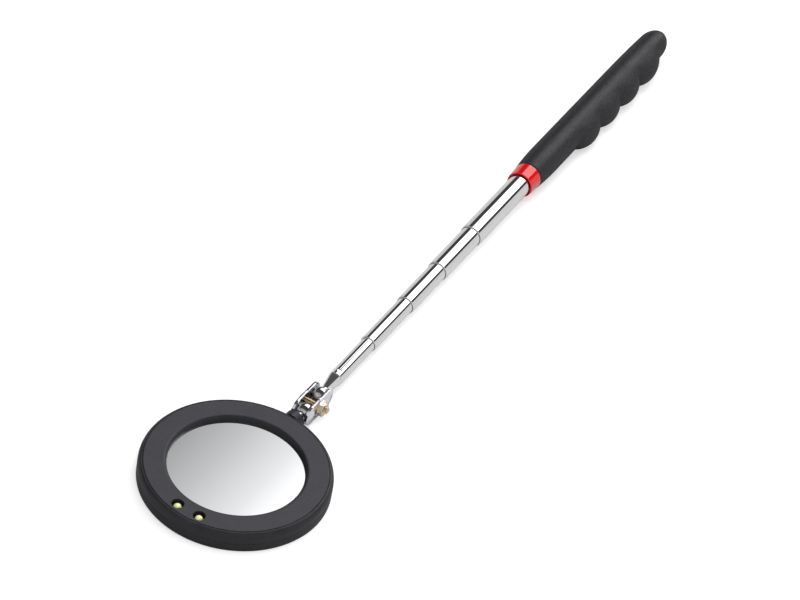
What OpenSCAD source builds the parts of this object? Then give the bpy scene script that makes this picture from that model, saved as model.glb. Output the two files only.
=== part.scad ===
// Telescoping inspection mirror: a lit round mirror on a double ball joint at the
// end of a five-section rod with a finger grip.
// The head lies face up on z = 0. The rod runs along +X from the head to the grip
// and rises a little, because the grip rests on its finger bumps.
// The origin is the centre of the head's flat rear face.

/* [Mirror head] */
// Outer diameter of the head
head_d = 67.5; // [66:0.5:70]
// Thickness of the head
head_t = 8; // [8:0.1:9]
// Height of the seam between the rear cover and the bezel
seam_z = 3.6; // [3.6:0.1:3.8]
// Diameter of the mirror that shows in the bezel
sight_d = 47.5; // [46.5:0.1:48]
// Depth of the mirror's face below the bezel's face
sight_depth = 1.9; // [1.8:0.1:2.4]
// Thickness of the mirror glass
glass_t = 1.6; // [1.4:0.1:1.6]
// Distance of each lamp from the head's centre
led_circle_r = 28.9; // [28.6:0.1:29.2]
// Angle between the two lamps
led_spread = 17.4; // [15:0.2:20]
// Angle by which the pair of lamps is turned from straight opposite the stud
led_turn = 1.3; // [-3:0.1:3]
// Angle by which the head's stud is turned from the rod's direction
head_yaw = 3.5; // [0:0.1:5]

/* [Ball joint] */
// Distance from the head's centre to the centre of its ball
head_reach = 41.5; // [41.5:0.1:43]
// Radius of both balls
ball_r = 3.2; // [3:0.05:3.3]
// Distance between the centres of the balls
ball_spacing = 10.8; // [10.6:0.1:12]
// Thickness of each clamp plate
plate_t = 1.0; // [0.9:0.05:1.2]
// Distance between the clamp plates' inner faces
plate_gap = 4.8; // [4.7:0.05:4.9]
// Diameter of the clamp bolt's shank
bolt_d = 2.9; // [2.6:0.1:3]

/* [Rod] */
// Outer diameter of the fixed tube in the grip
tube_1_d = 9.2; // [9:0.1:9.4]
// Step in diameter from one tube to the next
tube_step = 0.9; // [0.9:0.01:0.94]
// Wall thickness of each tube
tube_wall = 0.2; // [0.18:0.01:0.2]
// Length of each sliding tube
tube_len = 159.2; // [159.2:0.1:160]
// Visible length of the fixed tube in front of the collar
tube_1_out = 41.0; // [39:0.1:42]
// Visible length of the first sliding tube as the object lies
tube_2_out = 26.7; // [2:0.1:149]
// Visible length of the second sliding tube
tube_3_out = 24.8; // [2:0.1:149]
// Visible length of the third sliding tube
tube_4_out = 27.6; // [2:0.1:149]
// Visible length of the front sliding tube
tube_5_out = 23.6; // [2:0.1:149]

/* [Grip] */
// Length of the grip
grip_len = 125.5; // [125:0.1:127]
// Radius of the grip's plain body
grip_r = 6.55; // [6.5:0.05:7]
// Height of the finger bumps above the body
bump_h = 3.3; // [2.5:0.1:3.5]
// Distance between the finger bumps
bump_pitch = 18.7; // [18:0.1:19.5]
// Visible length of the collar in front of the grip
collar_out = 7.3; // [6:0.1:9]

/* [Hidden] */
$fn = 72;

// Fits
slip = 0.05;        // radial clearance of what turns or slides
seat = 0.02;        // gap between pieces that are pressed or glued together

// Heights in the head, from the rear face up
head_r = head_d / 2;
axis_z = 4.2;                        // height of the stud and the balls
mirror_z = head_t - sight_depth;     // height of the mirror's face
glass_z = mirror_z - glass_t;        // underside of the glass
board_z = 2.9;                       // underside of the circuit board
board_t = 0.6;
floor_t = 1.2;                       // floor of the rear cover
shell_wall_r = head_r - 1.85;        // inside of the head's outer wall
top_inner_z = 6.4;                   // underside of the bezel's face
face_r = head_r - 1.75;              // outer edge of the bezel's flat face
crease = [0.3, 0.3];                 // groove round the flat face: width, depth
rim_round_z = 5.4;                   // height where the rim starts to round over
lip_round = 1.3;                     // rounding of the lip round the mirror
lip_slope = 1.35;                    // width of the lip's rounding and slope
rear_edge_r = 0.7;                   // rounding of the rear cover's edge
seam_groove = 0.25;
glass_r = sight_d / 2 + 1.6;
pocket_r = glass_r + 0.1;
pocket_wall_r = pocket_r + 1.1;

// Head fittings
bush_r = 2.8;                        // stud bush inside the shells
bush_flange_r = 3.7;                 // stud bush outside the rim
bush_x = [31, 33.3, 36.6];           // inner end, flange, outer end
stud_r = 1.5;
stud_x0 = 29.4;                      // inner end of the stud
stud_flange = [2.1, 0.5];            // flange outside the bush: radius, thickness
clip_x = [30.1, 30.9];
clip_r = 2.5;
clip_groove = 0.35;
screw_circle_r = 29.3;
screw_angles = [45, 135, 225, 315];
screw_post_r = 2.1;
screw_r = 0.95;
screw_head_r = 1.75;
cell_r = 10;
cell_t = 1.6;
cell_step = [1.4, 0.2];              // rim of each cell: width, height
cell_z = 1.1;
cell_wall = [1.7, 1.9];              // wall round the cells: thickness, height
contact_size = [6, 4];
link_w = 4;
cell_x = 12;
cell_y = 10.5;
door_r = 11;
door_z = [0.15, 0.9];
door_screw_x = 20.5;
door_boss = [2.2, 2.7];              // post for the door's screw: radius, height
door_sink = [1.8, 0.55];             // sink for its head: radius, depth
switch_x = -17;
switch_size = [4, 8];
switch_z = 1.5;                      // lowest point of the switch's body
knob_size = [1.8, 2.2, 1.15];
knob_travel = 2;
led_r = 1.5;
led_flange_r = 1.9;
led_flange_t = 0.9;
led_body_h = 2.6;                    // lamp below its round end
led_hole_r = 2.2;

// Ball joint places
head_ball_at = [head_reach * cos(head_yaw), -head_reach * sin(head_yaw), axis_z];
rod_ball_at = head_ball_at + [ball_spacing, 0, 0];
bolt_at = head_ball_at + [ball_spacing / 2, 0, 0];
plate_end_r = 3.95;
plate_mid_r = 4.15;                  // less than axis_z, so the plates clear the floor
dome_r = ball_r + 0.8;
socket_r = ball_r + slip;
plate_out = plate_gap / 2 + plate_t;
dome_rise = 0.3;                     // height of the domes on the plates' outer faces
nut_af = 5.1;
nut_t = 2.1;
nut_chamfer = 0.3;                   // height of the chamfer on the nut's corners
bolt_end = 1.3;                      // bolt standing out of the nut
bolt_head_r = 2.6;
bolt_head_edge = 0.6;                // height of the bolt head's straight edge
bolt_dome = 1.16;                    // height of the dome on the bolt's head
neck_r = 1.3;
cup_r = ball_r + 0.06;

// Rod places, measured along the rod from the centre of its ball
function tube_r(k) = (tube_1_d - (k - 1) * tube_step) / 2;
cone_len = 10.8;
cone_neck_len = 3.6;                 // straight neck behind the ball
cone_plug_len = 7;                   // part of the cone inside tube 5
cone_plug_r = tube_r(5) - tube_wall - seat;
cone_base_r = tube_r(5) - 0.08;
ring_groove = 0.3;                   // groove between the cone and tube 5
front_5 = cone_len;
front_4 = front_5 + tube_5_out;
front_3 = front_4 + tube_4_out;
front_2 = front_3 + tube_3_out;
front_1 = front_2 + tube_2_out;
fronts = [0, front_1, front_2, front_3, front_4, front_5];
lip_len = 1;
edge_roll = 0.25;                    // rounding of each tube's front edge
flare = 0.17;                        // step in radius at the flared rear edge
bush_len = 8;
bush_t = 0.2;
flange_len = 0.6;
collar_x = front_1 + tube_1_out;
grip_x = collar_x + collar_out;
tube_1_len = 160.4;
plug_len = 3;
grip_bore_end = front_1 + tube_1_len + plug_len + 0.5;
collar_spigot = 5.4;                 // part of the collar inside the grip
collar_front_r = 5.45;
collar_recess = [0.7, 0.8];          // step round the tube in the collar's front: radius, depth

// Grip shape
first_bump = 43.7;                   // from the grip's front to the first bump
bump_count = 4;
bump_tail = 1.2;                     // the last bump's far side is this much longer
bump_round = 0.175;                  // lower makes the bumps rounder
valley_round = 0.01;                 // higher makes the valleys between the bumps softer
bump_fall = 2.4;                     // higher makes the bumps narrower round the grip
nose_len = 10;                       // rounded end of the grip
taper_len = 41;                      // length over which the grip narrows to its end
taper = 0.14;                        // share of its radius that it loses there
mouth_r = grip_r - 0.6;              // radius at the grip's front edge
spigot_r = mouth_r - 0.7;            // collar inside the grip
swell_len = 14;                      // length over which the front swells
lip_edge = 0.5;                      // rounding of the front edge
bump_side = 62;                      // the bumps lean this far from straight down
grip_sides = 30;
grip_step = 1.5;
grip_lowest = 7.69;                  // lowest point of the bumps below the axis
rod_pitch = asin((grip_lowest - axis_z) / (grip_x + first_bump));

// Frames
module at_head() rotate([0, 0, -head_yaw]) children();
module at_rod() translate(rod_ball_at) rotate([0, -rod_pitch, 0]) children();

// A solid turned round the X axis from points of [distance along X, radius]
module turned_x(points) rotate([0, 90, 0]) rotate_extrude()
    polygon([for (p = points) [p[1], p[0]]]);

// A rod along X from x0 to x1
module rod_x(x0, x1, r) translate([x0, 0, 0]) rotate([0, 90, 0])
    cylinder(h = x1 - x0, r = r);

// A solid turned round the Z axis from points of [radius, height]
module turned_z(points) rotate_extrude($fn = 144) polygon(points);

// Quarter arc as points, from angle a0 to a1, of radii rx and ry
function arc(cx, cy, rx, ry, a0, a1, n = 6) =
    [for (i = [0:n]) let (a = a0 + (a1 - a0) * i / n) [cx + rx * cos(a), cy + ry * sin(a)]];

// ---- Grip ----

// Radius of the grip's plain body at distance x from its front edge
function swell(x) = x >= swell_len ? grip_r
    : mouth_r + (grip_r - mouth_r) * sin(90 * x / swell_len);
function nose(x) = x <= grip_len - nose_len ? 1
    : sqrt(max(0, 1 - pow((x - grip_len + nose_len) / nose_len, 2)));
function front_round(x) = x >= lip_edge ? 0
    : lip_edge - sqrt(max(0, lip_edge * lip_edge - pow(lip_edge - x, 2)));
function narrowing(x) = 1 - taper * pow(max(0, x - grip_len + taper_len) / taper_len, 2);
function body_radius(x) = (swell(x) - front_round(x)) * nose(x) * narrowing(x);

// Height of the bumps at distance x. u counts bumps, and w is 1 on a crest, 0 in a valley.
function bump_u(x) = let (u = (x - first_bump) / bump_pitch)
    u > bump_count - 1 ? bump_count - 1 + (u - bump_count + 1) / bump_tail : u;
function crest(w) = (pow(w + valley_round, bump_round) - pow(valley_round, bump_round))
    / (pow(1 + valley_round, bump_round) - pow(valley_round, bump_round));
function bump(x) = let (u = bump_u(x)) (u < -0.5 || u > bump_count - 0.5) ? 0
    : bump_h * crest(pow(cos(180 * u), 2)) * sqrt(nose(x));

// Radius of the grip at distance x, and angle a from the middle of the bumps
function grip_radius(x, a) = body_radius(x) + bump(x) * pow(max(0, cos(a)), bump_fall);

grip_rings = concat([0, 0.25, lip_edge],
    [for (x = [2:grip_step:grip_len - 3.6]) x],
    [grip_len - 2.4, grip_len - 1.2, grip_len - 0.4]);
grip_points = concat(
    [for (x = grip_rings) for (i = [0:grip_sides - 1])
        let (a = 360 * i / grip_sides, r = grip_radius(x, a - bump_side))
            [x, -r * sin(a), -r * cos(a)]],
    [[0, 0, 0], [grip_len, 0, 0]]);
function ring_faces(n, sides) = concat(
    [for (j = [0:n - 2]) for (i = [0:sides - 1]) let (k = (i + 1) % sides)
        [j * sides + i, (j + 1) * sides + i, j * sides + k]],
    [for (j = [0:n - 2]) for (i = [0:sides - 1]) let (k = (i + 1) % sides)
        [(j + 1) * sides + i, (j + 1) * sides + k, j * sides + k]],
    [for (i = [0:sides - 1]) [n * sides, i, (i + 1) % sides]],
    [for (i = [0:sides - 1])
        [n * sides + 1, (n - 1) * sides + (i + 1) % sides, (n - 1) * sides + i]]);

module grip() color([0.09, 0.09, 0.095]) at_rod() difference() {
    translate([grip_x, 0, 0])
        polyhedron(grip_points, ring_faces(len(grip_rings), grip_sides));
    rod_x(grip_x - 1, grip_bore_end, tube_r(1) + seat);
    rod_x(grip_x - 1, grip_x + collar_spigot + 0.2, spigot_r + seat);
}

module collar() color([0.85, 0.04, 0.05]) at_rod() difference() {
    turned_x(concat([[collar_x + collar_recess[1], 0],
        [collar_x + collar_recess[1], collar_front_r - collar_recess[0]]],
        arc(collar_x + edge_roll, collar_front_r - edge_roll, edge_roll, edge_roll, 270, 90, 8),
        [[grip_x - 0.2, mouth_r - 0.15], [grip_x, mouth_r - 0.35], [grip_x, spigot_r],
        [grip_x + collar_spigot, spigot_r], [grip_x + collar_spigot, 0]]));
    rod_x(collar_x - 1, grip_x + collar_spigot + 1, tube_r(1) + seat);
}

// ---- Tubes ----

// Tube k: its front edge is rolled in round the next tube, and its rear edge is
// flared to hold the guide bush
module tube(k, length, bore_r, flared) {
    r = tube_r(k);
    front = fronts[k];
    rear = front + length;
    turned_x(concat([[front + edge_roll, bore_r], [front + 0.08, bore_r + 0.05]],
        arc(front + edge_roll, r - edge_roll, edge_roll, edge_roll, 180, 90),
        flared ? [[rear - flange_len, r], [rear - flange_len, r + flare], [rear, r + flare]]
            : [[rear, r]],
        [[rear, r - tube_wall], [front + lip_len, r - tube_wall],
        [front + lip_len, bore_r]]));
}
module sliding_tube(k) color([0.8, 0.8, 0.82]) at_rod()
    tube(k, tube_len, k < 5 ? tube_r(k + 1) + slip : tube_r(5) - tube_wall, true);

// The bush that guides tube k in the tube outside it
module guide_bush(k) color([0.72, 0.58, 0.3]) at_rod() {
    rear = fronts[k] + tube_len - flange_len - slip;
    r = tube_r(k);
    turned_x([[rear - bush_len, r + slip], [rear - bush_len, r + bush_t],
        [rear, r + bush_t], [rear, r + slip]]);
}

module tube_1() color([0.8, 0.8, 0.82]) at_rod()
    tube(1, tube_1_len, tube_r(2) + slip, false);
module tube_1_end_plug() color([0.12, 0.12, 0.12]) at_rod() {
    rear = front_1 + tube_1_len;
    rod_x(rear - plug_len, rear, tube_r(1) - tube_wall - seat);
    rod_x(rear, rear + plug_len, tube_r(1));
}

// ---- Ball joint ----

// Cone pressed into the front of tube 5, cupped round the rod's ball
module tip_cone() color([0.78, 0.78, 0.8]) at_rod() difference() {
    turned_x([[0, 0], [0, neck_r], [cone_neck_len, neck_r],
        [cone_len - ring_groove, cone_base_r], [cone_len, cone_base_r - ring_groove],
        [cone_len, cone_plug_r], [cone_len + cone_plug_len, cone_plug_r],
        [cone_len + cone_plug_len, 0]]);
    sphere(r = cup_r);
}
module rod_ball() color([0.8, 0.8, 0.82]) translate(rod_ball_at) sphere(r = ball_r);
module head_ball() color([0.8, 0.8, 0.82]) translate(head_ball_at) sphere(r = ball_r);

// Clamp plate on the side of s = -1 or 1 along Y, with a dome over each ball
module plate_outline() {
    for (s = [-1, 1]) translate([s * ball_spacing / 2, 0]) circle(r = plate_end_r);
    square([ball_spacing, 2 * plate_end_r], center = true);
    circle(r = plate_mid_r);
}
module clamp_plate(s) translate(bolt_at) rotate([90, 0, s > 0 ? 180 : 0])
    difference() {
        union() {
            translate([0, 0, plate_gap / 2]) linear_extrude(plate_t) plate_outline();
            intersection() {
                for (t = [-1, 1]) translate([t * ball_spacing / 2, 0, 0]) sphere(r = dome_r);
                translate([-10, -5, plate_out - dome_rise]) cube([20, 10, 2]);
            }
        }
        for (t = [-1, 1]) translate([t * ball_spacing / 2, 0, 0]) sphere(r = socket_r);
        cylinder(h = 10, r = bolt_d / 2 + seat);
    }
module clamp_plate_near() color([0.76, 0.76, 0.79]) clamp_plate(-1);
module clamp_plate_far() color([0.76, 0.76, 0.79]) clamp_plate(1);

// Bolt along Y: a domed head on the far plate, the nut on the near one
module clamp_bolt() color([0.74, 0.63, 0.42]) translate(bolt_at) rotate([90, 0, 0]) {
    dome_ball_r = (bolt_head_r * bolt_head_r + bolt_dome * bolt_dome) / 2 / bolt_dome;
    translate([0, 0, -plate_out]) cylinder(h = 2 * plate_out + nut_t + bolt_end, r = bolt_d / 2);
    translate([0, 0, -plate_out - bolt_head_edge]) {
        cylinder(h = bolt_head_edge, r = bolt_head_r);
        intersection() {
            translate([0, 0, dome_ball_r - bolt_dome]) sphere(r = dome_ball_r);
            translate([-3, -3, -1.2]) cube([6, 6, 1.2]);
        }
    }
}
module clamp_nut() color([0.78, 0.68, 0.48]) translate(bolt_at) rotate([90, 0, 0])
translate([0, 0, plate_out]) difference() {
    corner_r = nut_af / 2 / cos(30);
    intersection() {
        cylinder(h = nut_t, r = corner_r, $fn = 6);
        rotate_extrude() polygon([[0, 0], [nut_af / 2, 0], [corner_r + 0.1, nut_chamfer],
            [corner_r + 0.1, nut_t - nut_chamfer], [nut_af / 2, nut_t], [0, nut_t]]);
    }
    translate([0, 0, -1]) cylinder(h = nut_t + 2, r = bolt_d / 2 + seat);
}

// Stud of the head: cupped round its ball, it turns in the bush
module head_stud() color([0.78, 0.78, 0.8]) at_head() translate([0, 0, axis_z])
    difference() {
        turned_x([[stud_x0, 0], [stud_x0, stud_r - 0.2], [stud_x0 + 0.2, stud_r],
            [clip_x[0] - slip, stud_r], [clip_x[0] - slip, stud_r - clip_groove],
            [clip_x[1] + slip, stud_r - clip_groove], [clip_x[1] + slip, stud_r],
            [bush_x[2] + slip, stud_r], [bush_x[2] + slip, stud_flange[0]],
            [bush_x[2] + stud_flange[1], stud_flange[0]],
            [bush_x[2] + stud_flange[1] + 0.2, neck_r + 0.3],
            [head_reach, neck_r + 0.1], [head_reach, 0]]);
        translate([head_reach, 0, 0]) sphere(r = cup_r);
    }
module stud_clip() color([0.55, 0.55, 0.56]) at_head() translate([0, 0, axis_z])
    difference() {
        rod_x(clip_x[0], clip_x[1], clip_r);
        rod_x(clip_x[0] - 1, clip_x[1] + 1, stud_r - clip_groove + seat);
        translate([clip_x[0] - 1, -0.7, 0]) cube([3, 1.4, 3]);
    }
module stud_bush() color([0.07, 0.07, 0.075]) at_head() translate([0, 0, axis_z])
    difference() {
        turned_x([[bush_x[0], 0], [bush_x[0], bush_r], [bush_x[1], bush_r],
            [bush_x[1], bush_flange_r], [bush_x[2] - 0.4, bush_flange_r],
            [bush_x[2], bush_flange_r - 0.4], [bush_x[2], 0]]);
        rod_x(bush_x[0] - 1, bush_x[2] + 1, stud_r + slip);
    }
// Room for the bush in the two shells
module bush_room() translate([0, 0, axis_z]) {
    rod_x(bush_x[0] - 2, bush_x[1] + 1, bush_r + seat);
    rod_x(bush_x[1] - seat, head_r + 1, bush_flange_r + seat);
}

// ---- Head ----

module at_screws() for (a = screw_angles) rotate([0, 0, a])
    translate([screw_circle_r, 0, 0]) children();
module at_led(s) rotate([0, 0, 180 + led_turn + s * led_spread / 2])
    translate([led_circle_r, 0, 0]) children();
module at_cell(s) translate([cell_x, s * cell_y, 0]) children();

// Bezel: flat face, a groove round it, a rounded rim and a sloping inner lip
module front_bezel() color([0.1, 0.1, 0.105]) at_head() difference() {
    union() {
        turned_z(concat([[head_r, seam_z]],
            arc(face_r + crease[0], rim_round_z, head_r - face_r - crease[0],
                head_t - crease[1] / 2 - rim_round_z, 0, 90, 8),
            [[face_r + crease[0] / 2, head_t - crease[1]], [face_r, head_t - 0.1],
            [face_r - 0.15, head_t]],
            arc(sight_d / 2 + lip_slope, head_t - lip_round, lip_round, lip_round, 90, 180, 6),
            [[sight_d / 2, mirror_z + 0.3], [sight_d / 2, mirror_z],
            [pocket_r, mirror_z], [pocket_r, seam_z], [pocket_wall_r, seam_z],
            [pocket_wall_r, top_inner_z], [shell_wall_r - 0.9, top_inner_z],
            [shell_wall_r, top_inner_z - 0.9], [shell_wall_r, seam_z]]));
        at_screws() translate([0, 0, seam_z]) cylinder(h = 3, r = screw_post_r);
    }
    at_screws() translate([0, 0, seam_z - 1]) cylinder(h = 4, r = screw_r);
    for (s = [-1, 1]) at_led(s) translate([0, 0, 5]) cylinder(h = 6, r = led_hole_r);
    bush_room();
}
module mirror_glass() color([0.86, 0.87, 0.88]) at_head() translate([0, 0, glass_z])
    cylinder(h = glass_t - seat, r = glass_r, $fn = 144);
module mirror_pad() color([0.85, 0.85, 0.82]) at_head()
    translate([0, 0, board_z + board_t + seat])
        cylinder(h = glass_z - board_z - board_t - 2 * seat, r = glass_r - 1);

module circuit_board() color([0.05, 0.35, 0.16]) at_head() difference() {
    translate([0, 0, board_z]) cylinder(h = board_t, r = shell_wall_r - 0.8);
    at_screws() translate([0, 0, board_z - 1]) cylinder(h = 3, r = screw_post_r + 0.2);
    translate([27.4, -4, board_z - 1]) cube([6, 8, 3]);
}
module led(s) at_head() at_led(s) translate([0, 0, board_z + board_t]) {
    cylinder(h = led_flange_t, r = led_flange_r);
    cylinder(h = led_body_h, r = led_r);
    translate([0, 0, led_body_h]) sphere(r = led_r);
}
module led_left() color([0.93, 0.92, 0.75]) led(1);
module led_right() color([0.93, 0.92, 0.75]) led(-1);

module coin_cell(s) at_head() at_cell(s) translate([0, 0, cell_z]) {
    cylinder(h = cell_t - cell_step[1], r = cell_r);
    cylinder(h = cell_t, r = cell_r - cell_step[0]);
}
module coin_cell_left() color([0.75, 0.75, 0.76]) coin_cell(-1);
module coin_cell_right() color([0.75, 0.75, 0.76]) coin_cell(1);
// Leaf contacts between the cells and the board, one per cell
module cell_contacts() color([0.8, 0.7, 0.45]) at_head() for (s = [-1, 1]) at_cell(s)
    translate([-contact_size[0] / 2, -contact_size[1] / 2, cell_z + cell_t])
        cube([contact_size[0], contact_size[1], board_z - cell_z - cell_t]);
// Strip that joins the two cells under the door
module cell_link() color([0.7, 0.7, 0.7]) at_head()
    translate([cell_x - link_w / 2, -cell_y - 3, door_z[1]])
        cube([link_w, 2 * cell_y + 6, cell_z - door_z[1]]);

// Long hole or plate of radius r round both cells
module cell_stadium(r) {
    for (s = [-1, 1]) translate([cell_x, s * cell_y]) circle(r = r);
    translate([cell_x - r, -cell_y]) square([2 * r, 2 * cell_y]);
}
module rear_cover() color([0.08, 0.08, 0.085]) at_head() difference() {
    union() {
        turned_z(concat([[0, 0]],
            arc(head_r - rear_edge_r, rear_edge_r, rear_edge_r, rear_edge_r, -90, 0, 4),
            [[head_r, seam_z - seam_groove], [head_r - seam_groove, seam_z - seat],
            [shell_wall_r, seam_z - seat], [shell_wall_r, floor_t], [0, floor_t]]));
        at_screws() cylinder(h = seam_z - seat, r = screw_post_r);
        linear_extrude(cell_wall[1]) cell_stadium(cell_r + cell_wall[0]);
        translate([door_screw_x, 0, 0]) cylinder(h = door_boss[1], r = door_boss[0]);
    }
    at_screws() translate([0, 0, -1]) cylinder(h = 6, r = screw_r + 0.15);
    at_screws() translate([0, 0, -1]) cylinder(h = 2, r = screw_head_r + 0.15);
    translate([0, 0, -1]) linear_extrude(1 + door_z[1] + seat) cell_stadium(door_r + 0.1);
    for (s = [-1, 1]) at_cell(s) translate([0, 0, -1]) cylinder(h = 5, r = cell_r + 0.2);
    translate([cell_x - link_w / 2 - 0.2, -cell_y, -1])
        cube([link_w + 0.4, 2 * cell_y, 2 + cell_z]);
    translate([door_screw_x, 0, -1]) cylinder(h = 6, r = 0.8);
    translate([switch_x - 1.2, -2.4, -1]) cube([2.4, 4.8, 4]);
    bush_room();
}
module battery_door() color([0.1, 0.1, 0.105]) at_head() difference() {
    translate([0, 0, door_z[0]]) linear_extrude(door_z[1] - door_z[0]) cell_stadium(door_r);
    translate([door_screw_x, 0, -1]) cylinder(h = 4, r = 1);
    translate([door_screw_x, 0, -1]) cylinder(h = 1 + door_sink[1], r = door_sink[0]);
}
// Cross-recessed screw with its head down; head_z is the head's outer face
module head_screw(head_z, tip_z, head_h, shank_r, head_r) difference() {
    union() {
        translate([0, 0, head_z]) cylinder(h = head_h, r = head_r);
        translate([0, 0, head_z]) cylinder(h = tip_z - head_z, r = shank_r);
    }
    for (a = [0, 90]) rotate([0, 0, a])
        translate([-head_r * 0.55, -0.18, head_z - 1]) cube([head_r * 1.1, 0.36, 1 + head_h / 2]);
}
module door_screw() color([0.5, 0.5, 0.5]) at_head() translate([door_screw_x, 0, 0])
    head_screw(head_z = 0.17, tip_z = 2.6, head_h = 0.36, shank_r = 0.78, head_r = 1.7);
module case_screws() color([0.5, 0.5, 0.5]) at_head() at_screws()
    head_screw(head_z = 0.2, tip_z = 6.2, head_h = 0.78, shank_r = screw_r - seat,
        head_r = screw_head_r);

// Slide switch under the board and its knob in the slot of the rear cover
module switch_body() color([0.6, 0.6, 0.6]) at_head()
    translate([switch_x - switch_size[0] / 2, -switch_size[1] / 2, switch_z])
        cube([switch_size[0], switch_size[1], board_z - switch_z]);
module switch_knob() color([0.15, 0.15, 0.15]) at_head()
    translate([switch_x - knob_size[0] / 2, -knob_size[1] / 2 - knob_travel / 2, 0.3])
    difference() {
        cube(knob_size);
        for (i = [0:2]) translate([-1, 0.4 + i * 0.55, -1]) cube([4, 0.25, 1.2]);
    }

grip();
collar();
tube_1();
tube_1_end_plug();
sliding_tube(2);  // tube_2
sliding_tube(3);  // tube_3
sliding_tube(4);  // tube_4
sliding_tube(5);  // tube_5
guide_bush(2);  // guide_bush_2
guide_bush(3);  // guide_bush_3
guide_bush(4);  // guide_bush_4
guide_bush(5);  // guide_bush_5
tip_cone();
rod_ball();
clamp_plate_near();
clamp_plate_far();
clamp_bolt();
clamp_nut();
head_ball();
head_stud();
stud_clip();
stud_bush();
front_bezel();
mirror_glass();
mirror_pad();
circuit_board();
led_left();
led_right();
coin_cell_left();
coin_cell_right();
cell_contacts();
cell_link();
rear_cover();
battery_door();
door_screw();
case_screws();
switch_body();
switch_knob();
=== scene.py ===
"""Looks of the telescoping inspection mirror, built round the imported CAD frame.

Sizes are in millimetres and become metres in MM. The head lies face up on the floor
and the rod runs along +X, rising by ROD_PITCH towards the grip.
"""

import math

import bmesh
import bpy
from mathutils import Matrix, Vector


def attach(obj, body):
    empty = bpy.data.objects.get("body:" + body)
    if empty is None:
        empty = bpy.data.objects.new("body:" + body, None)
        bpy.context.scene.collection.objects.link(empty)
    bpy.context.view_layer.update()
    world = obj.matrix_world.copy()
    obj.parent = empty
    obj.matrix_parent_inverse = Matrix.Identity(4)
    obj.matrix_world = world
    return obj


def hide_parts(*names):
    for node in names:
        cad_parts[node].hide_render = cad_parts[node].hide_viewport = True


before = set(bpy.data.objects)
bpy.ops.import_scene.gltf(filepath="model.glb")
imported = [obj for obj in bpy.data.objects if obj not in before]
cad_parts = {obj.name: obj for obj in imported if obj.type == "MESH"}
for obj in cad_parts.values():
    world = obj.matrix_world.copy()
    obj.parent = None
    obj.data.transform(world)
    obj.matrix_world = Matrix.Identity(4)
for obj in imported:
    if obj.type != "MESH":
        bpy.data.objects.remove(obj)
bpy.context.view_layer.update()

MM = 0.001

# ---- Sizes of the object, in millimetres ----

HEAD_YAW = math.radians(3.5)       # the head's stud is turned this far off the rod
AXIS_Z = 4.2                       # height of the stud and the balls
HEAD_REACH = 41.5                  # head's centre to the centre of its ball
BALL_SPACING = 10.8
GRIP_X = 161.8                     # grip's front edge, from the rod ball along the rod
GRIP_LEN = 125.5
GRIP_R = 6.55
GRIP_LOWEST = 7.69                 # lowest point of the bumps below the rod's axis
FIRST_BUMP = 43.7
BUMP_PITCH = 18.7
BUMP_COUNT = 4
BUMP_H = 3.3
BUMP_ROUND = 0.175                 # lower: rounder bumps
BUMP_TAIL = 1.2                    # the last bump's far side is this much longer
VALLEY_ROUND = 0.01                # higher: softer valleys between the bumps
BUMP_FALL = 2.4                    # higher: narrower bumps round the grip
BUMP_SIDE = math.radians(62)       # the bumps lean this far from straight down
NOSE_LEN = 10.0
TAPER_LEN = 41.0                   # the grip narrows over this length to its end
TAPER = 0.14
SWELL_LEN = 14.0
MOUTH_R = GRIP_R - 0.6
LIP_EDGE = 0.5
SPIGOT_R = MOUTH_R - 0.68          # hollow in the grip's front for the collar
SPIGOT_LEN = 5.6
GRIP_BORE = 115.6                  # depth of the grip's bore
TUBE_1_R = 4.6
TUBE_STEP = 0.45                   # step in radius from one tube to the next
TUBE_5_FRONT = 10.8
TUBE_LEN = 159.2
TUBE_WALL = 0.2
TUBE_ROLL = 0.25                   # rounding of a tube's front edge
TUBE_FLARE = 0.17                  # swelling at a tube's rear end
FLARE_LEN = 0.6
PLATE_OUT = 3.4                    # outer faces of the clamp plates
NUT_T = 2.1
BOLT_R = 1.45
BOLT_END = 1.3
BOLT_HEAD_R = 2.6
BOLT_DOME = 1.76                   # height of the ellipse that the bolt's head follows
BOLT_POINT = 0.35                  # length of the chamfer at the bolt's end

HEAD_BALL = Vector((HEAD_REACH * math.cos(HEAD_YAW), -HEAD_REACH * math.sin(HEAD_YAW), AXIS_Z))
ROD_BALL = HEAD_BALL + Vector((BALL_SPACING, 0, 0))
BOLT_AT = (HEAD_BALL + ROD_BALL) / 2
ROD_PITCH = math.asin((GRIP_LOWEST - AXIS_Z) / (GRIP_X + FIRST_BUMP))
ROD = Matrix.Translation(ROD_BALL) @ Matrix.Rotation(-ROD_PITCH, 4, "Y")

# ---- Materials ----

MIX_A, MIX_B, MIX_RESULT = 6, 7, 2  # colour sockets of a Mix node
PAINTED_TOP_LIGHT_RANGE = (0.96, 0.995)            # upward part of the normal over which the painted top light fades in


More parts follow.
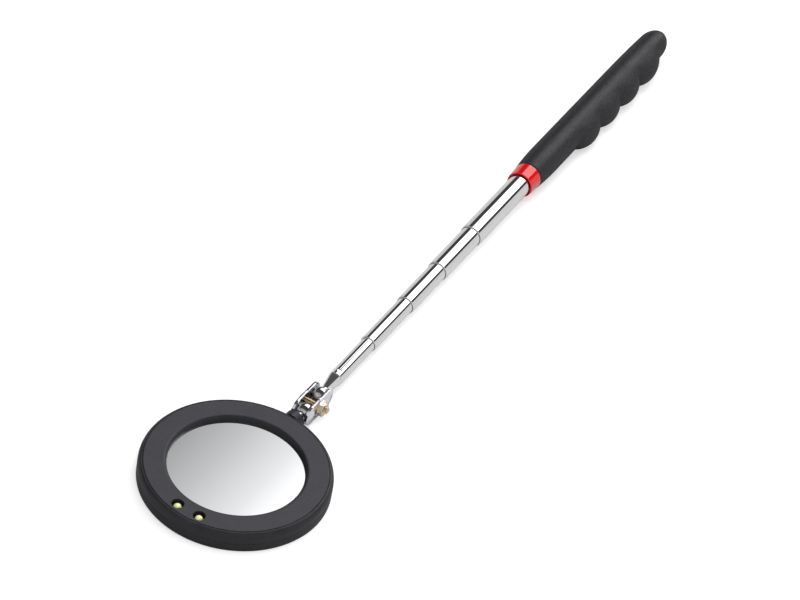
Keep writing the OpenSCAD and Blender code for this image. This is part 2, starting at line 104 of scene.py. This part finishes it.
def material(name, colour, roughness, metallic=0.0, shade=0.1, cloud=0.004,
             grain=0.0003, grain_depth=0.0, speckle=0.0, scuff=0.08, gloss=0.5,
             edge_gloss=None, painted_top_light=0.0, stretch=(1, 1, 1), **sockets):
    """A node material: colour that varies by shade over patches of size cloud, or over
    its grains by the share speckle, roughness that varies by scuff, and bumps of size
    grain. gloss is its reflection head on, and edge_gloss the one at grazing angles.
    A painted top light is added to the colour where the piece's own face is up.
    Sizes are in metres. sockets sets further inputs of the Principled shader."""
    mat = bpy.data.materials.new(name)
    mat.use_nodes = True
    nodes, links = mat.node_tree.nodes, mat.node_tree.links
    shader = nodes["Principled BSDF"]
    shader.inputs["Metallic"].default_value = metallic
    for key, value in sockets.items():
        shader.inputs[key.replace("_", " ")].default_value = value

    place = nodes.new("ShaderNodeTexCoord")
    scale = nodes.new("ShaderNodeMapping")
    scale.inputs["Scale"].default_value = stretch
    links.new(place.outputs["Object"], scale.inputs["Vector"])

    clouds = nodes.new("ShaderNodeTexNoise")
    clouds.inputs["Scale"].default_value = 1 / cloud
    clouds.inputs["Detail"].default_value = 4
    links.new(scale.outputs["Vector"], clouds.inputs["Vector"])

    grains = nodes.new("ShaderNodeTexNoise")
    grains.inputs["Scale"].default_value = 1 / grain
    grains.inputs["Detail"].default_value = 2
    links.new(scale.outputs["Vector"], grains.inputs["Vector"])
    spots = nodes.new("ShaderNodeMix")
    spots.inputs["Factor"].default_value = speckle
    links.new(clouds.outputs["Fac"], spots.inputs["A"])
    links.new(grains.outputs["Fac"], spots.inputs["B"])

    tint = nodes.new("ShaderNodeValToRGB")
    tint.color_ramp.elements[0].position = 0.3
    tint.color_ramp.elements[1].position = 0.7
    tint.color_ramp.elements[0].color = [c * (1 - shade) for c in colour] + [1]
    tint.color_ramp.elements[1].color = [min(1, c * (1 + shade)) for c in colour] + [1]
    links.new(spots.outputs["Result"], tint.inputs["Fac"])
    links.new(tint.outputs["Color"], shader.inputs["Base Color"])
    # Painted light: the colour is made lighter, slightly blue, where the piece's own face
    # points up.
    if painted_top_light:
        split = nodes.new("ShaderNodeSeparateXYZ")
        links.new(place.outputs["Normal"], split.inputs["Vector"])
        painted_top_light_mask = nodes.new("ShaderNodeMapRange")
        painted_top_light_mask.inputs["From Min"].default_value = PAINTED_TOP_LIGHT_RANGE[0]
        painted_top_light_mask.inputs["From Max"].default_value = PAINTED_TOP_LIGHT_RANGE[1]
        links.new(split.outputs["Z"], painted_top_light_mask.inputs["Value"])
        painted_top_light_mix = nodes.new("ShaderNodeMix")
        painted_top_light_mix.data_type = "RGBA"
        painted_top_light_mix.blend_type = "ADD"
        painted_top_light_mix.inputs[MIX_B].default_value = (painted_top_light, painted_top_light, 1.15 * painted_top_light, 1)
        links.new(painted_top_light_mask.outputs["Result"], painted_top_light_mix.inputs["Factor"])
        links.new(tint.outputs["Color"], painted_top_light_mix.inputs[MIX_A])
        links.new(painted_top_light_mix.outputs[MIX_RESULT], shader.inputs["Base Color"])

    wear = nodes.new("ShaderNodeMapRange")
    wear.inputs["From Min"].default_value = 0.3
    wear.inputs["From Max"].default_value = 0.7
    wear.inputs["To Min"].default_value = max(0, roughness - scuff / 2)
    wear.inputs["To Max"].default_value = roughness + scuff / 2
    links.new(clouds.outputs["Fac"], wear.inputs["Value"])
    links.new(wear.outputs["Result"], shader.inputs["Roughness"])

    shader.inputs["Specular IOR Level"].default_value = gloss
    if edge_gloss is not None:
        facing = nodes.new("ShaderNodeLayerWeight")
        fade = nodes.new("ShaderNodeMapRange")
        fade.inputs["From Min"].default_value = 0.3
        fade.inputs["From Max"].default_value = 0.8
        fade.inputs["To Min"].default_value = gloss
        fade.inputs["To Max"].default_value = edge_gloss
        links.new(facing.outputs["Facing"], fade.inputs["Value"])
        links.new(fade.outputs["Result"], shader.inputs["Specular IOR Level"])

    if grain_depth:
        bump = nodes.new("ShaderNodeBump")
        bump.inputs["Strength"].default_value = 1
        bump.inputs["Distance"].default_value = grain_depth
        links.new(grains.outputs["Fac"], bump.inputs["Height"])
        links.new(bump.outputs["Normal"], shader.inputs["Normal"])
    return mat


ALONG = (0.05, 1, 1)               # stretches marks along the rod

# The head's plastic gets painted light on the faces that point up.
MOULDED = material("moulded_black", (0.016, 0.016, 0.019), 0.45, shade=0.35, cloud=0.006,
                   grain=0.0006, grain_depth=0.00004, speckle=0.4, scuff=0.12, gloss=0.25,
                   edge_gloss=0.1, painted_top_light=0.022)
RUBBER = material("grip_rubber", (0.014, 0.014, 0.016), 0.46, shade=0.6, cloud=0.004,
                  grain=0.0008, grain_depth=0.0001, speckle=0.8, scuff=0.1, gloss=0.3,
                  edge_gloss=0.03)
RED = material("red_gloss", (0.60, 0.002, 0.003), 0.08, shade=0.04, cloud=0.006,
               scuff=0.03, Coat_Weight=0.4, Coat_Roughness=0.03)
CHROME = material("tube_chrome", (0.76, 0.76, 0.76), 0.05, metallic=1, shade=0.02,
                  cloud=0.002, scuff=0.03, stretch=ALONG)
BALL_CHROME = material("ball_chrome", (0.50, 0.49, 0.50), 0.09, metallic=1, shade=0.12,
                       cloud=0.0015, scuff=0.08)
PLATED = material("plate_nickel", (0.74, 0.74, 0.79), 0.16, metallic=1, shade=0.05,
                  cloud=0.003, grain=0.0004, grain_depth=0.000008, scuff=0.1)
YELLOW_ZINC = material("yellow_zinc", (0.70, 0.56, 0.42), 0.18, metallic=1, shade=0.15,
                       cloud=0.0012, grain_depth=0.000006, scuff=0.12)
STEEL = material("zinc_steel", (0.56, 0.56, 0.57), 0.35, metallic=1, shade=0.08,
                 cloud=0.001, grain=0.0002, grain_depth=0.000008, scuff=0.15)
BRASS = material("bush_brass", (0.76, 0.57, 0.28), 0.3, metallic=1, shade=0.08,
                 cloud=0.001, scuff=0.12)
SILVERED = material("silvered_glass", (0.90, 0.91, 0.92), 0.012, metallic=1, shade=0.005,
                    cloud=0.02, scuff=0.006, Coat_Weight=0.3, Coat_Roughness=0.01)
LENS = material("lamp_lens", (0.86, 0.84, 0.42), 0.12, shade=0.12, cloud=0.0015,
                scuff=0.05, Coat_Weight=0.6, Subsurface_Weight=0.25,
                Subsurface_Radius=(0.001, 0.001, 0.0004))
BOARD = material("board_green", (0.02, 0.16, 0.06), 0.35, shade=0.2, cloud=0.002, scuff=0.1)
FOAM = material("pad_foam", (0.72, 0.72, 0.68), 0.9, shade=0.08, cloud=0.001,
                grain=0.0004, grain_depth=0.0001, scuff=0.05)

LOOKS = {
    MOULDED: ["front_bezel", "rear_cover", "battery_door", "stud_bush", "switch_knob",
              "tube_1_end_plug"],
    RED: ["collar"],
    CHROME: ["tube_1", "tube_2", "tube_3", "tube_4", "tube_5", "tip_cone"],
    BALL_CHROME: ["rod_ball", "head_ball", "head_stud"],
    PLATED: ["clamp_plate_near", "clamp_plate_far"],
    YELLOW_ZINC: ["clamp_bolt", "clamp_nut"],
    STEEL: ["stud_clip", "door_screw", "case_screws", "switch_body", "cell_link",
            "coin_cell_left", "coin_cell_right"],
    BRASS: ["guide_bush_2", "guide_bush_3", "guide_bush_4", "guide_bush_5", "cell_contacts"],
    SILVERED: ["mirror_glass"],
    LENS: ["led_left", "led_right"],
    BOARD: ["circuit_board"],
    FOAM: ["mirror_pad"],
    RUBBER: ["grip"],
}
for look, names in LOOKS.items():
    for name in names:
        for mat_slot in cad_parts[name].material_slots:
            mat_slot.material = look

# ---- Mesh tools ----


def new_piece(name, verts, faces, look, body, node, sharp=35):
    """Makes a mesh piece from points in millimetres, in place of a CAD node."""
    mesh = bpy.data.meshes.new(name)
    mesh.from_pydata([Vector(v) * MM for v in verts], [], faces)
    bm = bmesh.new()
    bm.from_mesh(mesh)
    bmesh.ops.recalc_face_normals(bm, faces=bm.faces)
    bm.to_mesh(mesh)
    bm.free()
    mesh.polygons.foreach_set("use_smooth", [True] * len(mesh.polygons))
    mesh.set_sharp_from_angle(angle=math.radians(sharp))
    mesh.materials.append(look)
    piece = bpy.data.objects.new(name, mesh)
    bpy.context.scene.collection.objects.link(piece)
    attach(piece, body)
    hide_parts(node)


def lathe(profile, sides, radius_at=None):
    """Points and faces of a closed profile of (distance, radius) turned round the X axis.
    radius_at(x, r, angle) may change the radius."""
    verts, faces = [], []
    for x, r in profile:
        for i in range(sides):
            a = 2 * math.pi * i / sides
            q = radius_at(x, r, a) if radius_at else r
            verts.append((x, q * math.cos(a), q * math.sin(a)))
    count = len(profile)
    for j in range(count):
        k = (j + 1) % count
        for i in range(sides):
            n = (i + 1) % sides
            faces.append((j * sides + i, k * sides + i, k * sides + n, j * sides + n))
    return verts, faces


def placed(matrix, verts):
    """The points moved by the matrix."""
    return [matrix @ Vector(v) for v in verts]


def arc(cx, cr, rx, rr, a0, a1, steps):
    """Points (distance, radius) on an arc, from angle a0 to a1 in degrees."""
    turns = [math.radians(a0 + (a1 - a0) * i / steps) for i in range(steps + 1)]
    return [(cx + rx * math.cos(t), cr + rr * math.sin(t)) for t in turns]


# ---- Grip ----


def grip_body(x):
    """Radius of the grip's plain body at distance x from its front edge."""
    swell = GRIP_R if x >= SWELL_LEN else (
        MOUTH_R + (GRIP_R - MOUTH_R) * math.sin(math.pi / 2 * x / SWELL_LEN))
    edge = 0 if x >= LIP_EDGE else (
        LIP_EDGE - math.sqrt(max(0, LIP_EDGE ** 2 - (LIP_EDGE - x) ** 2)))
    narrowing = 1 - TAPER * (max(0, x - GRIP_LEN + TAPER_LEN) / TAPER_LEN) ** 2
    return (swell - edge) * grip_nose(x) * narrowing


def grip_nose(x):
    """Share of the radius left at distance x, where the end rounds off."""
    t = max(0, (x - GRIP_LEN + NOSE_LEN) / NOSE_LEN)
    return math.sqrt(max(0, 1 - t * t))


def grip_radius(x, side):
    """Radius at distance x, at an angle side from the middle of the bumps."""
    u = (x - FIRST_BUMP) / BUMP_PITCH
    last = BUMP_COUNT - 1
    if u > last:
        u = last + (u - last) / BUMP_TAIL
    wave = 0
    if -0.5 <= u <= BUMP_COUNT - 0.5:
        valley = VALLEY_ROUND ** BUMP_ROUND
        height = (math.cos(math.pi * u) ** 2 + VALLEY_ROUND) ** BUMP_ROUND - valley
        crest = height / ((1 + VALLEY_ROUND) ** BUMP_ROUND - valley)
        wave = BUMP_H * crest * math.sqrt(grip_nose(x))
    return grip_body(x) + wave * max(0, math.cos(side)) ** BUMP_FALL


def make_grip():
    """The sleeve, with its bumps outside and the bore for the collar and tube inside."""
    sides = 96
    bore = TUBE_1_R + 0.02             # clear of the tube
    step = 0.65                        # distance between the rings of points
    stations = [LIP_EDGE * (1 - math.cos(math.radians(15 * i))) for i in range(7)]
    while stations[-1] + step < GRIP_LEN - 2:
        stations.append(stations[-1] + step)
    rest = GRIP_LEN - stations[-1]
    stations += [GRIP_LEN - rest * (1 - math.sin(math.radians(10 * i))) for i in range(1, 9)]
    verts, faces = [], []
    for x in stations:
        for i in range(sides):
            a = 2 * math.pi * i / sides
            r = grip_radius(x, a - BUMP_SIDE)
            verts.append((x, -r * math.sin(a), -r * math.cos(a)))
    inner = [(0, SPIGOT_R), (SPIGOT_LEN, SPIGOT_R), (SPIGOT_LEN, bore), (GRIP_BORE, bore)]
    for x, r in inner:
        for i in range(sides):
            a = 2 * math.pi * i / sides
            verts.append((x, -r * math.sin(a), -r * math.cos(a)))
    count = len(stations)
    rings = list(range(count - 1, -1, -1)) + list(range(count, count + len(inner)))
    for j, k in zip(rings, rings[1:]):
        for i in range(sides):
            n = (i + 1) % sides
            faces.append((j * sides + i, k * sides + i, k * sides + n, j * sides + n))
    tip, floor = len(verts), len(verts) + 1
    verts += [(GRIP_LEN, 0, 0), (inner[-1][0], 0, 0)]
    for i in range(sides):
        n = (i + 1) % sides
        faces.append((tip, (count - 1) * sides + i, (count - 1) * sides + n))
        faces.append((floor, rings[-1] * sides + n, rings[-1] * sides + i))
    at = ROD @ Matrix.Translation((GRIP_X, 0, 0))
    new_piece("grip_sleeve", placed(at, verts), faces, RUBBER, "handle", "grip", sharp=50)


make_grip()

# ---- Front tube, with the dimple that holds the cone ----

DIMPLE_AT = 12.9
DIMPLE_R = 0.85
DIMPLE_FLAT = 0.5                  # radius of its flat bottom
DIMPLE_DEPTH = 0.16
DIMPLE_STEP = 0.12                 # distance between the rings of points beside it
DIMPLE_SIDE = math.radians(96)     # round the tube, from +Y towards +Z


def dimpled(x, r, a):
    """Radius at distance x and angle a, lower where the dimple is."""
    turn = math.remainder(a - DIMPLE_SIDE, 2 * math.pi)
    away = math.hypot(x - DIMPLE_AT, r * turn)
    if away >= DIMPLE_R or x < TUBE_5_FRONT + 1:
        return r
    edge = max(0, away - DIMPLE_FLAT) / (DIMPLE_R - DIMPLE_FLAT)
    return r - DIMPLE_DEPTH * (1 + math.cos(math.pi * edge)) / 2


def make_front_tube():
    """Front tube with a rolled edge, the dimple and the flare at its rear."""
    r = TUBE_1_R - 4 * TUBE_STEP
    bore = r - TUBE_WALL
    rear = TUBE_5_FRONT + TUBE_LEN
    front = TUBE_5_FRONT + TUBE_ROLL
    outer = arc(front, r - TUBE_ROLL, TUBE_ROLL, TUBE_ROLL, 180, 90, 6)
    near = [(DIMPLE_AT + DIMPLE_STEP * i, r) for i in range(-7, 8)]
    flare = rear - FLARE_LEN
    tail = [(flare, r), (flare, r + TUBE_FLARE), (rear, r + TUBE_FLARE)]
    inside = [(rear, bore)] + [(x, bore) for x, _ in reversed(near)]
    profile = [(front, bore)] + outer + near + tail + inside
    verts, faces = lathe(profile, 144, dimpled)
    new_piece("front_tube", placed(ROD, verts), faces, CHROME, "section_5", "tube_5")


make_front_tube()

# ---- Clamp bolt with its thread ----

THREAD_PITCH = 0.5
THREAD_DEPTH = 0.28


def make_bolt():
    """A domed head, and a shank whose thread is a helical ridge."""
    sides, per_turn = 48, 8
    start = -PLATE_OUT
    end = PLATE_OUT + NUT_T + BOLT_END
    rows = int((end - start) / THREAD_PITCH * per_turn)
    verts, faces = [], []
    head = arc(start, 0, -BOLT_DOME, BOLT_HEAD_R, 90, 8, 8)
    for x, r in head[::-1]:
        for i in range(sides):
            a = 2 * math.pi * i / sides
            verts.append((x, r * math.cos(a), r * math.sin(a)))
    for j in range(rows + 1):
        x = start + (end - start) * j / rows
        for i in range(sides):
            a = 2 * math.pi * i / sides
            phase = (x / THREAD_PITCH - i / sides) % 1
            groove = THREAD_DEPTH * abs(2 * phase - 1)
            taper = max(0, x - (end - BOLT_POINT))
            r = BOLT_R - groove - taper
            verts.append((x, r * math.cos(a), r * math.sin(a)))
    rings = len(head) + rows + 1
    for j in range(rings - 1):
        for i in range(sides):
            n = (i + 1) % sides
            faces.append((j * sides + i, (j + 1) * sides + i,
                          (j + 1) * sides + n, j * sides + n))
    faces.append(tuple(range(sides)))
    faces.append(tuple((rings - 1) * sides + i for i in reversed(range(sides))))
    at = Matrix.Translation(BOLT_AT) @ Matrix.Rotation(math.radians(-90), 4, "Z")
    new_piece("threaded_bolt", placed(at, verts), faces, YELLOW_ZINC, "clamp", "clamp_bolt",
              sharp=40)


make_bolt()

# ---- Pieces with their sharp edges rounded ----

FLAT_ANGLE = math.radians(6)       # faces closer than this count as one face


def rounded(node, body, name, width, steps=2, angle=30, look=None):
    """A copy of a CAD node with its edges rounded, in place of the node."""
    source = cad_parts[node]
    piece = bpy.data.objects.new(name, source.data.copy())
    bpy.context.scene.collection.objects.link(piece)
    piece.matrix_world = source.matrix_world.copy()
    bm = bmesh.new()
    bm.from_mesh(piece.data)
    bmesh.ops.remove_doubles(bm, verts=bm.verts, dist=1e-6)
    bmesh.ops.dissolve_limit(bm, angle_limit=FLAT_ANGLE, verts=bm.verts, edges=bm.edges)
    bm.to_mesh(piece.data)
    bm.free()
    bevel = piece.modifiers.new("edge", "BEVEL")
    bevel.width = width * MM
    bevel.segments = steps
    bevel.limit_method = "ANGLE"
    bevel.angle_limit = math.radians(angle)
    bevel.use_clamp_overlap = True
    depsgraph = bpy.context.evaluated_depsgraph_get()
    piece.data = bpy.data.meshes.new_from_object(piece.evaluated_get(depsgraph))
    piece.modifiers.clear()
    mesh = piece.data
    mesh.polygons.foreach_set("use_smooth", [True] * len(mesh.polygons))
    mesh.set_sharp_from_angle(angle=math.radians(angle))
    if look:
        mesh.materials.clear()
        mesh.materials.append(look)
    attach(piece, body)
    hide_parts(node)


rounded("clamp_plate_near", "clamp", "rounded_plate_near", 0.22, 3, look=PLATED)
rounded("clamp_plate_far", "clamp", "rounded_plate_far", 0.22, 3, look=PLATED)
rounded("clamp_nut", "clamp", "rounded_nut", 0.08, 2, angle=20, look=YELLOW_ZINC)

# ---- Floor, light and camera ----

LIT_POINT = (0.15, 0, 0)


def make_floor(size, grey, glow):
    """A white floor. glow brightens it for the camera alone, as an overexposed photograph
    does, so that soft shadows fade out in it."""
    half = size / 2
    mesh = bpy.data.meshes.new("floor")
    mesh.from_pydata([(-half, -half, 0), (half, -half, 0), (half, half, 0),
                      (-half, half, 0)], [], [(0, 1, 2, 3)])
    mat = bpy.data.materials.new("floor_white")
    mat.use_nodes = True
    nodes, links = mat.node_tree.nodes, mat.node_tree.links
    shader = nodes["Principled BSDF"]
    shader.inputs["Base Color"].default_value = (grey, grey, grey, 1)
    shader.inputs["Roughness"].default_value = 0.9
    shader.inputs["Specular IOR Level"].default_value = 0
    shader.inputs["Emission Color"].default_value = (1, 1, 1, 1)
    seen = nodes.new("ShaderNodeLightPath")
    lift = nodes.new("ShaderNodeMath")
    lift.operation = "MULTIPLY"
    lift.inputs[1].default_value = glow
    links.new(seen.outputs["Is Camera Ray"], lift.inputs[0])
    links.new(lift.outputs["Value"], shader.inputs["Emission Strength"])
    mesh.materials.append(mat)
    floor = bpy.data.objects.new("floor", mesh)
    bpy.context.scene.collection.objects.link(floor)


def soft_light(name, at, size, watts):
    """A rectangular lamp aimed at the rod, which the metal doesn't mirror."""
    light = bpy.data.lights.new(name, "AREA")
    light.shape = "RECTANGLE"
    light.size, light.size_y = size
    light.energy = watts
    lamp = bpy.data.objects.new(name, light)
    bpy.context.scene.collection.objects.link(lamp)
    lamp.location = at
    lamp.visible_glossy = False
    aim = Vector(LIT_POINT) - Vector(at)
    lamp.rotation_euler = aim.to_track_quat("-Z", "Y").to_euler()


make_floor(8, 0.62, 0.48)

soft_light("overhead_softbox", (0.1, 0.1, 1.6), (1.6, 1.2), 17)
soft_light("side_softbox", (0.5, -1.3, 0.9), (0.9, 0.6), 5)

# The studio that the metal mirrors. A softbox runs alongside the rod, and its place is
# the angle round the X axis, from +Y over the top to -Y, with a dark gap on each side.
SOFTBOX = 3.2
SIDE_GREY = 0.25
ROUND_X = [(-180, SIDE_GREY), (0, 0.24), (24, 0.21), (28, 0.018), (59, 0.018), (62, 0.08),
           (63.5, 0.12), (65.2, 0.215), (66.9, 0.34), (71, 1.0), (129, 1.0), (131, 0.02),
           (153, 0.02), (156, 0.24), (180, SIDE_GREY)]
# How far the softbox reaches along X: below the first value there is a dark ceiling,
# which ends on the -Y side at CEILING_END.
ALONG_X = [(-1.0, 0.25), (-0.45, 0.2), (-0.35, 0.03), (0.42, 0.03)]
REACH = (0.44, 0.56)
CEILING_END = (130, 134)

sky = bpy.data.worlds.new("studio")
bpy.context.scene.world = sky
sky.use_nodes = True
sky_nodes, sky_links = sky.node_tree.nodes, sky.node_tree.links


def sky_math(operation, a, b=None):
    """A maths node on sockets or numbers."""
    step = sky_nodes.new("ShaderNodeMath")
    step.operation = operation
    for socket, value in zip(step.inputs, (a, b)):
        if isinstance(value, (int, float)):
            socket.default_value = value
        elif value is not None:
            sky_links.new(value, socket)
    return step.outputs[0]


def sky_ramp(value, low, high, stops):
    """Greys at values between low and high."""
    scaled = sky_nodes.new("ShaderNodeMapRange")
    scaled.inputs["From Min"].default_value = low
    scaled.inputs["From Max"].default_value = high
    sky_links.new(value, scaled.inputs["Value"])
    ramp = sky_nodes.new("ShaderNodeValToRGB")
    elements = ramp.color_ramp.elements
    while len(elements) < len(stops):
        elements.new(1.0)
    for element, (at, grey) in zip(elements, stops):
        element.position = (at - low) / (high - low)
        element.color = (grey, grey, grey, 1)
    sky_links.new(scaled.outputs["Result"], ramp.inputs["Fac"])
    return ramp.outputs["Color"]


def sky_blend(value, edge, below, above):
    """Passes from below to above as the value crosses the edge."""
    share = sky_nodes.new("ShaderNodeMapRange")
    share.inputs["From Min"].default_value, share.inputs["From Max"].default_value = edge
    sky_links.new(value, share.inputs["Value"])
    both = sky_nodes.new("ShaderNodeMix")
    both.data_type = "RGBA"
    sky_links.new(share.outputs["Result"], both.inputs["Factor"])
    sky_links.new(below, both.inputs[MIX_A])
    sky_links.new(above, both.inputs[MIX_B])
    return both.outputs[MIX_RESULT]


way = sky_nodes.new("ShaderNodeTexCoord")
split = sky_nodes.new("ShaderNodeSeparateXYZ")
sky_links.new(way.outputs["Generated"], split.inputs["Vector"])
turn = sky_math("MULTIPLY", sky_math("ARCTAN2", split.outputs["Z"], split.outputs["Y"]),
                180 / math.pi)
beside = sky_ramp(turn, -180, 180, ROUND_X)
ceiling = sky_ramp(split.outputs["X"], -1, 1, ALONG_X)
side = sky_ramp(turn, -180, 180, [(-180, SIDE_GREY), (180, SIDE_GREY)])
overhead = sky_blend(turn, CEILING_END, ceiling, side)
studio = sky_blend(split.outputs["X"], REACH, overhead, beside)
sky_links.new(studio, sky_nodes["Background"].inputs["Color"])
sky_nodes["Background"].inputs["Strength"].default_value = SOFTBOX

VIEW_AZIMUTH = math.radians(-67.77)
VIEW_ELEVATION = math.radians(39.39)
VIEW_ROLL = math.radians(11.48)
VIEW_TARGET = Vector((121.6, 2.87, 0)) * MM
VIEW_DISTANCE = 1012.9 * MM
LENS_MM = 121.5

back = Vector((math.sin(VIEW_AZIMUTH) * math.cos(VIEW_ELEVATION),
               -math.cos(VIEW_AZIMUTH) * math.cos(VIEW_ELEVATION),
               math.sin(VIEW_ELEVATION)))
level = Vector((math.cos(VIEW_AZIMUTH), math.sin(VIEW_AZIMUTH), 0))
upright = back.cross(level)
right = level * math.cos(VIEW_ROLL) + upright * math.sin(VIEW_ROLL)
up = back.cross(right)
camera_data = bpy.data.cameras.new("camera")
camera_data.lens = LENS_MM
camera_data.sensor_width = 36
camera = bpy.data.objects.new("camera", camera_data)
bpy.context.scene.collection.objects.link(camera)
camera.matrix_world = Matrix.Translation(VIEW_TARGET + back * VIEW_DISTANCE) @ Matrix(
    (right, up, back)).transposed().to_4x4()
bpy.context.scene.camera = camera
bpy.context.scene.view_settings.view_transform = "Standard"
